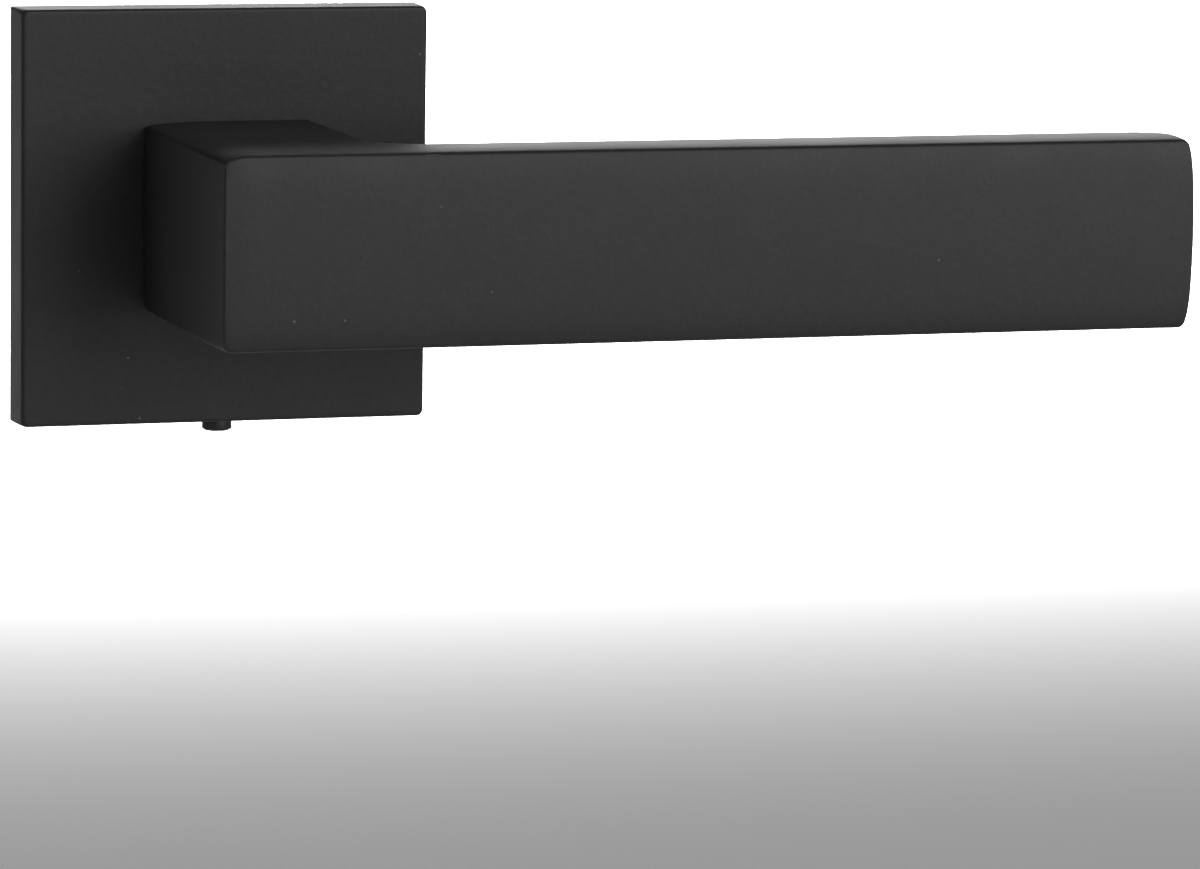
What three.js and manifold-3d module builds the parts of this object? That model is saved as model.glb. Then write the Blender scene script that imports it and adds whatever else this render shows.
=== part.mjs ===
// A door lever handle on a square rose: the set for one side of a door.
//
// X runs along the lever towards its tip, Y runs into the door and Z is up. The origin lies on
// the spindle's axis, in the plane of the door's face. Lengths are millimetres, angles degrees.
// Angles about the spindle are seen from the room: 0 points to the tip, 90 points up.

import * as THREE from "three";
import { mergeVertices } from "three/addons/utils/BufferGeometryUtils.js";
import Module from "manifold-3d";

const wasm = await Module();
wasm.setup();

// ---------------------------------------------------------------- driving dimensions

const lever = {
  reach: 113.9, // spindle axis to the tip
  height: 23.9,
  armDepth: 8.9,
  projection: 47.2, // door face to the front of the arm
  neckWidth: 21.6,
  insideFillet: 6.5, // between the neck and the back of the arm
  tipRound: 5, // at the back of the tip, seen from above
  tipCrown: 0.85, // how far the end face bulges
  neckCrown: 0.35,
  cornerRound: 1.1,
  edgeRound: 0.6,
  spigotWall: 2,
  turn: 45, // how far it turns down
};

const rose = {
  side: 52,
  depth: 6.5,
  frontWall: 1.2,
  sideWall: 1.4,
  cornerRound: 1,
};

const spindle = { side: 8, length: 100, depthInLever: 27, cornerRound: 0.5 };

const plate = {
  floor: 0.8, // under the spring
  cornerRound: 2,
  bossWall: 1.6,
  bossDepth: 3,
  recessWall: 0.3, // left between a tooth and the end of its recess, at the tooth's rim
  coreDepth: 2,
};

const driver = {
  hubWall: 1,
  discThickness: 1,
  arborWall: 1.6, // from the bush's bore out to the arbor that the spring sits round
  toothReach: 2.8,
  toothHalfAngle: 13,
  grooveDepth: 0.5,
};

const bush = { wall: 0.8, flangeReach: 0.9, flangeThickness: 0.8 };
const ring = { wall: 1.6, flangeReach: 1.4, flangeThickness: 0.5 };
const washer = { wall: 1.7, thickness: 0.5 };
const clip = { wall: 1.5, thickness: 0.8, gapAngle: 40, earRadius: 1.5, earHole: 0.6 };

const spring = {
  wire: 1.1,
  pitchGap: 0.05, // between one turn and the next
  windRoom: 1, // the coil gets this much smaller inside before it touches the arbor
  fixedAngle: 225, // where its back end lies in the plate
  legReach: 3.4,
  legAngle: 16, // over which the back end swings out
  hookAngle: 10, // over which the front end bends into the driver
};

const sleeve = { radius: 2.8, headRadius: 4, headDepth: 1.3, length: 22, spacing: 38 };
const thread = { radius: 1.65, depth: 17 }; // inside the fixing sleeve
const lug = { radius: 3.9, length: 8, neckRadius: 3.5, neckDepth: 2 };
const woodScrew = { radius: 1.6, headRadius: 3.4, headDepth: 2, length: 22, tip: 4, inset: 5.8 };
const crossDepth = 1.3; // of the recess in a countersunk head
const setScrew = { radius: 2, length: 6, standOut: 1.5, socket: 2, socketDepth: 2.4, tip: 0.8 };
const coverBoss = { halfWidth: 3.6, height: 2.4 };
const grubScrew = { radius: 3, length: 6, socket: 3, socketDepth: 3, tip: 0.8 };

const fit = {
  running: 0.1, // round a piece that turns
  axial: 0.15, // beside a piece that turns
  seat: 0.05, // between fixed pieces
  neckGap: 0.4, // the shadow line between the neck and the rose
  coverGap: 0.4, // between the cover and the plate, in front and inside the rim
  pocket: 0.8, // round the spring
  stop: 0.4, // degrees left at each stop
};

const FINE = 48; // sides of a circle round the spindle
const COARSE = 24; // sides of a screw

// ------------------------------------------------------- sizes that follow from those above

const half = (value) => value / 2;
const radians = THREE.MathUtils.degToRad;

const socketSide = spindle.side + 2 * fit.seat;
const socketReach = half(socketSide) * Math.SQRT2;

// Levels along Y, from the room to the door. The door's face is 0.
const armFront = -lever.projection;
const armBack = armFront + lever.armDepth;
const roseFront = -rose.depth;
const coverInside = roseFront + rose.frontWall;
const neckBack = roseFront - fit.neckGap;
const plateFront = coverInside + fit.coverGap;
const ringFlangeFront = coverInside + fit.seat;
const ringFlangeBack = ringFlangeFront + ring.flangeThickness;
const discFront = ringFlangeBack + fit.axial;
const discBack = discFront + driver.discThickness;
const pocketFloor = -plate.floor;
const coilBack = pocketFloor - fit.running - half(spring.wire);
const coilFront = discBack + fit.running + half(spring.wire);
const bushFlangeFront = pocketFloor - fit.seat - bush.flangeThickness;
const arborBack = bushFlangeFront - fit.axial;
const bossBack = plate.bossDepth;
const bushBack = bossBack + fit.seat;
const washerBack = bushBack + fit.seat + washer.thickness;
const grooveFront = washerBack + fit.seat;
const grooveBack = grooveFront + clip.thickness + 2 * fit.seat;
const hubBack = grooveBack + driver.grooveDepth + clip.thickness;
const spigotBack = ringFlangeBack;
const spindleFront = spigotBack - spindle.depthInLever;

// Radii about the spindle's axis, from the inside out.
const spigotRadius = socketReach + lever.spigotWall;
const ringBore = spigotRadius + fit.running;
const ringRadius = ringBore + ring.wall;
const coverHole = ringRadius + fit.seat;
const hubRadius = socketReach + driver.hubWall;
const bushBore = hubRadius + fit.running;
const bushRadius = bushBore + bush.wall;
const bossBore = bushRadius + fit.seat;
const bossRadius = bossBore + plate.bossWall;
const bushFlangeRadius = bushRadius + bush.flangeReach;
const arborRadius = bushRadius + driver.arborWall;
const coilRadius = arborRadius + spring.windRoom + half(spring.wire);
const pocketRadius = coilRadius + half(spring.wire) + fit.pocket;
const discRadius = pocketRadius - plate.recessWall;
const toothRadius = discRadius + driver.toothReach;

// The spring takes as many turns as fit between the pocket's floor and the driver's disc.
const coilTurns = (coilBack - coilFront) / (spring.wire + spring.pitchGap);
const drivenAngle = spring.fixedAngle - 360 * coilTurns;

// The square pieces.
const plateSide = rose.side - 2 * (rose.sideWall + fit.coverGap);
const setScrewY = half(coverInside);
const setScrewBottom = -half(rose.side) - setScrew.standOut;
const setScrewTop = setScrewBottom + setScrew.length;
const notchFloor = setScrewTop + fit.running;

// ---------------------------------------------------------------- shaping

// A closed three.js geometry as a solid that can be joined and cut.
function solid(geometry) {
  const bare = geometry.index ? geometry.toNonIndexed() : geometry.clone();
  bare.deleteAttribute("normal");
  bare.deleteAttribute("uv");
  const merged = mergeVertices(bare, 1e-4);
  const vertProperties = merged.attributes.position.array;
  const triVerts = new Uint32Array(merged.index.array);
  return new wasm.Manifold(new wasm.Mesh({ numProp: 3, vertProperties, triVerts }));
}

// The solid with every cutter taken out of it.
function cut(body, ...cutters) {
  return cutters.reduce((rest, cutter) => rest.subtract(cutter), body);
}

function join(...bodies) {
  return bodies.reduce((whole, body) => whole.add(body));
}

// A finished solid as a named mesh in its own material.
function piece(name, body, material) {
  const mesh = body.getMesh();
  const geometry = new THREE.BufferGeometry();
  geometry.setAttribute("position", new THREE.BufferAttribute(mesh.vertProperties, 3));
  geometry.setIndex(new THREE.BufferAttribute(mesh.triVerts, 1));
  geometry.computeVertexNormals();
  const made = new THREE.Mesh(geometry, material);
  made.name = name;
  return made;
}

// A solid of revolution about the Y axis. The profile is a loop of [radius, y] corners,
// or a chain that starts and ends on the axis; either direction will do.
function turned(profile, segments = FINE) {
  const onAxis = profile[0][0] === 0 && profile.at(-1)[0] === 0;
  const loop = onAxis ? profile : [...profile, profile[0]];
  const points = loop.map(([radius, y]) => new THREE.Vector2(radius, y));
  if (THREE.ShapeUtils.area(points) < 0) points.reverse();
  return solid(new THREE.LatheGeometry(points, segments));
}

// A disc or a ring between two levels along Y.
function round(outer, front, back, inner = 0, segments = FINE) {
  const corners = [[inner, front], [outer, front], [outer, back], [inner, back]];
  return turned(corners, segments);
}

// A flat outline in X and Z carried along Y from one level to the other.
function slab(outline, front, back, curveSegments = 6) {
  const depth = back - front;
  const geometry = new THREE.ExtrudeGeometry(outline, { depth, bevelEnabled: false, curveSegments });
  return solid(geometry.rotateX(Math.PI / 2).translate(0, back, 0));
}

function box(centre, size) {
  const geometry = new THREE.BoxGeometry(...size);
  return solid(geometry.translate(...centre));
}

// A rectangle with round corners, centred at (x, z).
function roundedRectangle(width, height, radius, x = 0, z = 0) {
  const [left, right] = [x - half(width), x + half(width)];
  const [bottom, top] = [z - half(height), z + half(height)];
  const shape = new THREE.Shape();
  shape.absarc(right - radius, bottom + radius, radius, -Math.PI / 2, 0);
  shape.absarc(right - radius, top - radius, radius, 0, Math.PI / 2);
  shape.absarc(left + radius, top - radius, radius, Math.PI / 2, Math.PI);
  shape.absarc(left + radius, bottom + radius, radius, Math.PI, 1.5 * Math.PI);
  return shape;
}

// The part of a ring between two angles about the spindle.
function sector(inner, outer, from, to) {
  const shape = new THREE.Shape();
  shape.absarc(0, 0, outer, radians(from), radians(to));
  shape.absarc(0, 0, inner, radians(to), radians(from), true);
  return shape;
}

function polar(radius, angle) {
  return [radius * Math.cos(radians(angle)), radius * Math.sin(radians(angle))];
}

// A hexagon socket cut along Y, with its flats apart by size.
function hexSocket(size, front, back) {
  return round(half(size) / Math.cos(Math.PI / 6), front, back, 0, 6);
}

// A cross recess in a screw head whose face is at the level front.
function crossRecess(width, front, depth) {
  const arm = 0.25 * width;
  const middle = front + half(depth);
  return join(box([0, middle, 0], [width, depth, arm]), box([0, middle, 0], [arm, depth, width]));
}

// A grub screw along Y: the socket at y = 0, the bevelled tip at y = length.
function grubScrewBody({ radius, length, socket, socketDepth, tip }) {
  const outer = radius - fit.seat;
  const profile = [[0, 0], [outer, 0], [outer, length - tip], [outer - tip, length], [0, length]];
  return cut(turned(profile, COARSE), hexSocket(socket, -1, socketDepth));
}

// ---------------------------------------------------------------- the lever and what turns with it

// The lever from above: the neck and the arm, with the fillet in the angle between them.
function leverPlan() {
  const side = half(lever.neckWidth);
  const { reach, insideFillet, tipRound } = lever;
  const shape = new THREE.Shape();
  shape.moveTo(-side, armFront);
  shape.lineTo(reach, armFront);
  shape.absarc(reach - tipRound, armBack - tipRound, tipRound, 0, Math.PI / 2);
  const filletX = side + insideFillet;
  shape.absarc(filletX, armBack + insideFillet, insideFillet, 1.5 * Math.PI, Math.PI, true);
  shape.lineTo(side, neckBack);
  shape.lineTo(-side, neckBack);
  return shape;
}

// The lever from the front: a long bar with crowned ends and round corners.
function leverElevation() {
  const top = half(lever.height);
  const corner = lever.cornerRound;
  const left = lever.neckCrown - half(lever.neckWidth);
  const right = lever.reach - lever.tipCrown;
  const shape = new THREE.Shape();
  shape.moveTo(left + corner, -top);
  shape.lineTo(right - corner, -top);
  shape.quadraticCurveTo(right, -top, right, corner - top);
  shape.quadraticCurveTo(right + 2 * lever.tipCrown, 0, right, top - corner);
  shape.quadraticCurveTo(right, top, right - corner, top);
  shape.lineTo(left + corner, top);
  shape.quadraticCurveTo(left, top, left, top - corner);
  shape.quadraticCurveTo(left - 2 * lever.neckCrown, 0, left, corner - top);
  shape.quadraticCurveTo(left, -top, left + corner, -top);
  return shape;
}

// One casting: neck, arm and the spigot that turns in the rose, with a square blind socket for
// the spindle and a tapped hole up through the underside of the neck.
function leverHandle() {
  const edge = lever.edgeRound;
  const plan = new THREE.ExtrudeGeometry(leverPlan(), {
    depth: lever.height - 2 * edge,
    bevelThickness: edge,
    bevelSize: edge,
    bevelOffset: -edge,
    bevelSegments: 2,
    curveSegments: 5,
  });
  const fromAbove = solid(plan.translate(0, 0, edge - half(lever.height)));
  const fromFront = slab(leverElevation(), armFront, neckBack, 6);
  const spigot = round(spigotRadius, neckBack - lever.spigotWall, spigotBack);
  const socketFront = spindleFront - fit.running;
  const socketMiddle = half(socketFront + spigotBack + 1);
  const socketLength = spigotBack + 1 - socketFront;
  const socket = box([0, socketMiddle, 0], [socketSide, socketLength, socketSide]);
  const hole = new THREE.CylinderGeometry(grubScrew.radius, grubScrew.radius, lever.height, COARSE);
  hole.rotateX(Math.PI / 2).translate(0, grubScrewY, -half(lever.height));
  return cut(join(fromAbove.intersect(fromFront), spigot), socket, solid(hole));
}

// The grub screw clamps the spindle halfway along its hold in the neck.
const grubScrewY = half(spindleFront + neckBack);

function spindleBar() {
  const side = spindle.side;
  const outline = roundedRectangle(side, side, spindle.cornerRound);
  return slab(outline, spindleFront, spindleFront + spindle.length, 2);
}

// The sprung follower: a disc with two teeth that meet the stops, an arbor inside the spring
// and a hub that runs through the plate to the circlip. The spindle passes through its square.
function springDriver() {
  const grooveRadius = hubRadius - driver.grooveDepth;
  const stem = turned([
    [0, discFront],
    [discRadius, discFront],
    [discRadius, discBack],
    [arborRadius, discBack],
    [arborRadius, arborBack],
    [hubRadius, arborBack],
    [hubRadius, grooveFront],
    [grooveRadius, grooveFront],
    [grooveRadius, grooveBack],
    [hubRadius, grooveBack],
    [hubRadius, hubBack],
    [0, hubBack],
  ]);
  const teeth = toothAngles.map((angle) => {
    const [from, to] = [angle - driver.toothHalfAngle, angle + driver.toothHalfAngle];
    return slab(sector(discRadius - 1, toothRadius, from, to), discFront, discBack);
  });
  const square = box([0, half(discFront + hubBack), 0], [socketSide, hubBack - discFront + 2, socketSide]);
  return cut(join(stem, ...teeth), square, springNotch());
}

const toothAngles = [90, 270];

// The notch in the driver's disc that the front end of the spring hooks into.
function springNotch() {
  const room = half(spring.wire) + fit.running;
  const margin = THREE.MathUtils.radToDeg(fit.running / coilRadius);
  const [from, to] = [drivenAngle - margin, drivenAngle + spring.hookAngle + margin];
  const outline = sector(coilRadius - room, pocketRadius, from, to);
  return slab(outline, discFront - 1, discBack + 1);
}

// The centre line of the torsion spring, from its back end to its front end. The back end swings
// out into the plate, and the front end bends forward through the driver's disc.
class SpringLine extends THREE.Curve {
  getPoint(t, target = new THREE.Vector3()) {
    const wound = 360 * coilTurns;
    const angle = spring.fixedAngle - wound * t;
    const out = 1 - THREE.MathUtils.smoothstep(wound * t, 0, spring.legAngle);
    const forward = THREE.MathUtils.smoothstep(wound * t, wound - spring.hookAngle, wound);
    const [x, z] = polar(coilRadius + spring.legReach * out, angle);
    const level = THREE.MathUtils.lerp(coilBack, coilFront, t);
    return target.set(x, level - driver.discThickness * forward, z);
  }
}

function returnSpring() {
  const sides = 8;
  const section = new THREE.Shape().absarc(0, 0, half(spring.wire), 0, 2 * Math.PI);
  const options = { extrudePath: new SpringLine(), steps: 75, curveSegments: half(sides), bevelEnabled: false };
  return solid(new THREE.ExtrudeGeometry(section, options));
}

// A spring steel C that snaps into the hub's groove, with two eyes for the pliers.
function circlip() {
  const inner = hubRadius - driver.grooveDepth + fit.seat;
  const outer = inner + clip.wall;
  const [from, to] = [270 + half(clip.gapAngle), 270 + 360 - half(clip.gapAngle)];
  const front = grooveFront + fit.seat;
  const back = front + clip.thickness;
  const eyeRadius = half(inner + outer) + half(clip.earRadius);
  const eye = (radius, angle, margin) => {
    const [x, z] = polar(eyeRadius, angle);
    const disc = new THREE.Shape().absarc(x, z, radius, 0, 2 * Math.PI);
    return slab(disc, front - margin, back + margin);
  };
  const body = slab(sector(inner, outer, from, to), front, back, 12);
  const ears = [from, to].map((angle) => eye(clip.earRadius, angle, 0));
  const holes = [from, to].map((angle) => eye(clip.earHole, angle, 1));
  const hub = round(inner, front - 1, back + 1);
  return cut(join(body, ...ears), hub, ...holes);
}

function waveWasher() {
  return round(bushBore + washer.wall, bushBack + fit.seat, washerBack, bushBore);
}

// ---------------------------------------------------------------- what stays on the door

// The bush that the driver turns in, with a flange on the floor of the spring pocket.
function driverBush() {
  return turned([
    [bushBore, bushFlangeFront],
    [bushFlangeRadius, bushFlangeFront],
    [bushFlangeRadius, pocketFloor - fit.seat],
    [bushRadius, pocketFloor - fit.seat],
    [bushRadius, bushBack - fit.seat],
    [bushBore, bushBack - fit.seat],
  ]);
}

// The nylon ring in the cover that carries the lever's spigot. Its lip keeps the neck off the rose.
function bearingRing() {
  return turned([
    [ringBore, roseFront],
    [ringRadius, roseFront],
    [ringRadius, ringFlangeFront],
    [ringRadius + ring.flangeReach, ringFlangeFront],
    [ringRadius + ring.flangeReach, ringFlangeBack],
    [ringBore, ringFlangeBack],
  ]);
}

const sleevePlaces = [
  ["left", -half(sleeve.spacing)],
  ["right", half(sleeve.spacing)],
];
const screwPlace = half(plateSide) - woodScrew.inset;
const screwPlaces = [
  [-screwPlace, screwPlace],
  [screwPlace, screwPlace],
  [-screwPlace, -screwPlace],
  [screwPlace, -screwPlace],
];

// The hole for a countersunk screw whose head lies just under the plate's front.
function countersink(radius, headRadius, headDepth, back) {
  const profile = [
    [0, plateFront - 1],
    [headRadius, plateFront - 1],
    [headRadius, plateFront + fit.axial],
    [radius, plateFront + fit.axial + headDepth],
    [radius, back],
    [0, back],
  ];
  return turned(profile, COARSE);
}

// The room for a tooth to swing through the lever's whole turn, ending at the two stops.
function toothRecess(angle) {
  const from = angle - lever.turn - driver.toothHalfAngle - fit.stop;
  const to = angle + driver.toothHalfAngle + fit.stop;
  const outline = sector(0.5 * pocketRadius, toothRadius + plate.recessWall, from, to);
  return slab(outline, plateFront - 1, discBack + fit.axial, 10);
}

// The slot in the pocket's wall that holds the back end of the spring.
function springSlot() {
  const room = half(spring.wire) + fit.axial;
  const outer = coilRadius + spring.legReach + room;
  const margin = 6;
  const outline = sector(coilRadius, outer, spring.fixedAngle - spring.legAngle, spring.fixedAngle + margin);
  return slab(outline, coilBack - room - spring.wire, pocketFloor);
}

// Hollows in the back of the casting, which keep its walls even: four above and below the
// boss, and four beside the lugs.
function coringPockets() {
  const flank = half(plateSide) - 4.2;
  const places = [];
  for (const up of [-1, 1]) {
    for (const across of [-1, 1]) {
      places.push([across * 6.5, up * flank, 8, 4.6]);
      places.push([across * flank, up * 9.4, 4.6, 7]);
    }
  }
  return places.map(([x, z, width, height]) => {
    const outline = roundedRectangle(width, height, 1, x, z);
    return slab(outline, -plate.coreDepth, 1, 2);
  });
}

// The sub-rose: a square casting with the spring pocket and stops in front, and behind it a
// boss that reaches into the door round the driver's bush.
function mountingPlate() {
  const outline = roundedRectangle(plateSide, plateSide, plate.cornerRound);
  const body = join(slab(outline, plateFront, 0, 2), round(bossRadius, -plate.floor, bossBack));
  const pocket = round(pocketRadius, plateFront - 1, pocketFloor);
  const bore = round(bossBore, plateFront - 1, bossBack + 1);
  const notchHalf = coverBoss.halfWidth + fit.coverGap;
  const notchDepth = half(plateSide) + notchFloor;
  const notchMiddle = notchFloor - half(notchDepth + 1);
  const notch = box([0, half(plateFront), notchMiddle], [2 * notchHalf, -plateFront + 2, notchDepth + 1]);
  const sleeveHoles = sleevePlaces.map(([, x]) => {
    const hole = countersink(sleeve.radius + fit.running, sleeve.headRadius, sleeve.headDepth, 1);
    const seat = round(lug.neckRadius, -lug.neckDepth, 1, 0, COARSE);
    return join(hole, seat).translate(x, 0, 0);
  });
  const screwHoles = screwPlaces.map(([x, z]) => {
    const hole = countersink(woodScrew.radius + fit.running, woodScrew.headRadius, woodScrew.headDepth, 1);
    return hole.translate(x, 0, z);
  });
  const recesses = toothAngles.map(toothRecess);
  return cut(body, pocket, bore, notch, springSlot(), ...recesses, ...sleeveHoles, ...screwHoles, ...coringPockets());
}

// A collar pressed into the plate, which locates the rose in the door round the fixing sleeve.
function lugCollar(x) {
  const bore = sleeve.radius + fit.running;
  const collar = turned(
    [
      [bore, fit.seat - lug.neckDepth],
      [lug.neckRadius - fit.seat, fit.seat - lug.neckDepth],
      [lug.neckRadius - fit.seat, fit.seat],
      [lug.radius, fit.seat],
      [lug.radius, lug.length],
      [bore, lug.length],
    ],
    COARSE,
  );
  return collar.translate(x, 0, 0);
}

// A countersunk sleeve, tapped from its far end for the screw that comes from the other side of
// the door.
function fixingSleeve(x) {
  const face = plateFront + fit.axial;
  const end = face + sleeve.length;
  const profile = [
    [0, face],
    [sleeve.headRadius - fit.running, face],
    [sleeve.radius, face + sleeve.headDepth - fit.running],
    [sleeve.radius, end],
    [thread.radius, end],
    [thread.radius, end - thread.depth],
    [0, end - thread.depth],
  ];
  const body = cut(turned(profile, COARSE), crossRecess(sleeve.headRadius, face - 1, crossDepth + 1));
  return body.translate(x, 0, 0);
}

function woodScrewBody([x, z]) {
  const face = plateFront + fit.axial;
  const head = woodScrew.headRadius - fit.running;
  const end = face + woodScrew.length;
  const profile = [
    [0, face],
    [head, face],
    [woodScrew.radius, face + woodScrew.headDepth - fit.running],
    [woodScrew.radius, end - woodScrew.tip],
    [0, end],
  ];
  const body = cut(turned(profile, COARSE), crossRecess(woodScrew.headRadius, face - 1, crossDepth + 1));
  return body.translate(x, 0, z);
}

// The visible square cover: a thin pressed-looking shell, open at the back, with a thick spot
// inside its bottom wall that is tapped for the set screw.
function roseCover() {
  const { side, sideWall, cornerRound } = rose;
  const outside = slab(roundedRectangle(side, side, cornerRound), roseFront, 0, 3);
  const hollowSide = side - 2 * sideWall;
  const hollow = slab(roundedRectangle(hollowSide, hollowSide, cornerRound), coverInside, 1, 2);
  const bossTop = sideWall + coverBoss.height - half(side);
  const bossFront = coverInside - half(rose.frontWall);
  const bossDepth = -bossFront - fit.coverGap;
  const bossCentre = [0, -fit.coverGap - half(bossDepth), bossTop - half(coverBoss.height + sideWall)];
  const boss = box(bossCentre, [2 * coverBoss.halfWidth, bossDepth, coverBoss.height + sideWall]);
  const tapLength = 2 * (sideWall + coverBoss.height + 1);
  const tapped = new THREE.CylinderGeometry(setScrew.radius, setScrew.radius, tapLength, COARSE);
  tapped.rotateX(Math.PI / 2).translate(0, setScrewY, -half(side));
  const centreHole = round(coverHole, roseFront - 1, 0);
  return cut(join(cut(outside, hollow), boss), centreHole, solid(tapped));
}

// ---------------------------------------------------------------- materials

const finish = (color, roughness, metalness) => new THREE.MeshStandardMaterial({ color, roughness, metalness });
const materials = {
  powderCoat: finish(0x262727, 0.55, 0),
  blackScrew: finish(0x15161a, 0.45, 0.6),
  zincCasting: finish(0x9a9c9d, 0.5, 0.9),
  plainSteel: finish(0x85878a, 0.4, 1),
  brightZinc: finish(0xb4b8bd, 0.3, 1),
  springSteel: finish(0x55575c, 0.35, 1),
  bronze: finish(0x9b7a3f, 0.5, 0.8),
  whiteNylon: finish(0xe6e4dc, 0.6, 0),
};

// ---------------------------------------------------------------- assembly

const turning = new THREE.Group();
turning.name = "lever";
const grub = piece("spindle_grub_screw", grubScrewBody(grubScrew), materials.blackScrew);
grub.rotation.x = Math.PI / 2;
grub.position.set(0, grubScrewY, -half(spindle.side) - fit.running - grubScrew.length);
turning.add(
  piece("lever_handle", leverHandle(), materials.powderCoat),
  piece("spindle", spindleBar(), materials.brightZinc),
  grub,
  piece("spring_driver", springDriver(), materials.plainSteel),
  piece("driver_circlip", circlip(), materials.springSteel),
);

const fixed = new THREE.Group();
fixed.name = "rose";
const cover = piece("cover_set_screw", grubScrewBody(setScrew), materials.blackScrew);
cover.rotation.x = Math.PI / 2;
cover.position.set(0, setScrewY, setScrewBottom);
fixed.add(
  piece("rose_cover", roseCover(), materials.powderCoat),
  cover,
  piece("bearing_ring", bearingRing(), materials.whiteNylon),
  piece("mounting_plate", mountingPlate(), materials.zincCasting),
  piece("driver_bush", driverBush(), materials.bronze),
  piece("return_spring", returnSpring(), materials.springSteel),
  piece("wave_washer", waveWasher(), materials.springSteel),
);
for (const [side, x] of sleevePlaces) {
  fixed.add(piece(`lug_${side}`, lugCollar(x), materials.plainSteel));
  fixed.add(piece(`fixing_sleeve_${side}`, fixingSleeve(x), materials.brightZinc));
}
screwPlaces.forEach((place, i) => {
  fixed.add(piece(`wood_screw_${i + 1}`, woodScrewBody(place), materials.brightZinc));
});

const handle = new THREE.Group();
handle.name = "door_lever_handle";
handle.add(turning, fixed);
export default handle;
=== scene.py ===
# %% [markdown]
# # A door lever handle on a square rose
#
# This notebook dresses a finished mechanical model. The frame below already holds every piece
# of the handle at its real size: what turns, what stays on the door, and where the axis runs.
# Here each piece gets the surface that the real one has: a cast and powder-coated lever, a thin
# square cover, threads on the screws and a torsion spring that winds when the lever is pressed.
#
# X runs to the lever's tip, Y into the door and Z up. Blender works in metres, and a shape is
# easier to think about in millimetres, so shapes are worked out in millimetres and turned into
# metres once, when they become a mesh.

# %% Load the fixed frame
import math

import bmesh
import bpy
import numpy as np
from mathutils import Matrix, Vector


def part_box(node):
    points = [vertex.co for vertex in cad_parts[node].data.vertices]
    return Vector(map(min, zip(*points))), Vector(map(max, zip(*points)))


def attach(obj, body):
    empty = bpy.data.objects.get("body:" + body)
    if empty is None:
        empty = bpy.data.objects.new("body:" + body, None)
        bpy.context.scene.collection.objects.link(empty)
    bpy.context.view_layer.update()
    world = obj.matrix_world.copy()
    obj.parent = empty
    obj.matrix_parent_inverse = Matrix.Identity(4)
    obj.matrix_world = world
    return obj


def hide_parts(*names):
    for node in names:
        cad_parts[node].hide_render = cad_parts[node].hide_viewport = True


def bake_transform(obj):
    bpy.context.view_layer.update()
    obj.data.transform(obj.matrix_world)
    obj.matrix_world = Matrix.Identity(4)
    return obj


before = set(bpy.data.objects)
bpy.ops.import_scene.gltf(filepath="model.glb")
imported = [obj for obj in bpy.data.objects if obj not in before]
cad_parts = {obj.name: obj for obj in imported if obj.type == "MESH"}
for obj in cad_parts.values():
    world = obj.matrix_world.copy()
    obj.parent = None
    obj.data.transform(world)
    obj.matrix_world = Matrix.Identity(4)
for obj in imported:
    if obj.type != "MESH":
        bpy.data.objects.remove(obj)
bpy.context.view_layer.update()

MM = 0.001


# %% [markdown]
# ## How a piece is made
#
# A surface is a grid of points: one direction goes along the shape and the other goes round it.
# Neighbouring points become four-sided faces. Where two grids meet, or where a whole row falls
# on one point, the copies are welded, which closes seams and poles. The faces of a closed
# surface can then all be turned to point outwards.
#
# Round edges need smooth shading and crisp ones must not be smeared, so an edge counts as sharp
# only above a certain angle.


# %% From grids of points to a mesh
def span(node):
    """Lowest and highest corner of a CAD node, in millimetres."""
    low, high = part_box(node)
    return np.array(low) / MM, np.array(high) / MM


def grid_faces(rows, columns, first, closed):
    """Corner numbers of the quads between neighbouring rows; closed joins the last column to the first."""
    row = np.arange(rows - 1)[:, None] * columns
    column = np.arange(columns if closed else columns - 1)[None, :]
    following = (column + 1) % columns
    corners = [row + column, row + following, row + columns + following, row + columns + column]
    return first + np.stack(corners, axis=-1).reshape(-1, 4)


SHARP_ANGLE = math.radians(38)
WELD = 2e-6


def build(name, grids):
    """A mesh object from grids in millimetres, each (points, closed), welded and facing outwards."""
    points = []
    faces = []
    count = 0
    for grid, closed in grids:
        rows, columns = grid.shape[:2]
        points.append(grid.reshape(-1, 3) * MM)
        faces.append(grid_faces(rows, columns, count, closed))
        count += rows * columns
    mesh = bpy.data.meshes.new(name)
    mesh.from_pydata(np.concatenate(points), [], np.concatenate(faces).tolist())
    shape = bmesh.new()
    shape.from_mesh(mesh)
    bmesh.ops.remove_doubles(shape, verts=shape.verts, dist=WELD)
    bmesh.ops.recalc_face_normals(shape, faces=shape.faces)
    shape.to_mesh(mesh)
    shape.free()
    piece = bpy.data.objects.new(name, mesh)
    bpy.context.scene.collection.objects.link(piece)
    return piece


# %% [markdown]
# ## Edges that catch the light
#
# Handling polishes a sharp edge first, so it is smoother there. The powder coat is also painted
# darker on its edges: a painted shade that draws the dark line their rounding shows. To let a
# material know where the edges are, every face corner gets a number called `edge`: 0 on a flat,
# 1 on a tight convex bend. It comes from the angle between neighbouring faces. A large face is a
# flat from rim to rim, so its corners stay 0; otherwise the mark of its rim would run all over it.


# %% Mark the edges of a finished mesh
EDGE_FROM = math.radians(7)
EDGE_FULL = math.radians(14)
FLAT_FACE = 4.0  # square millimetres; a face larger than this has no worn edge inside it


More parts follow.
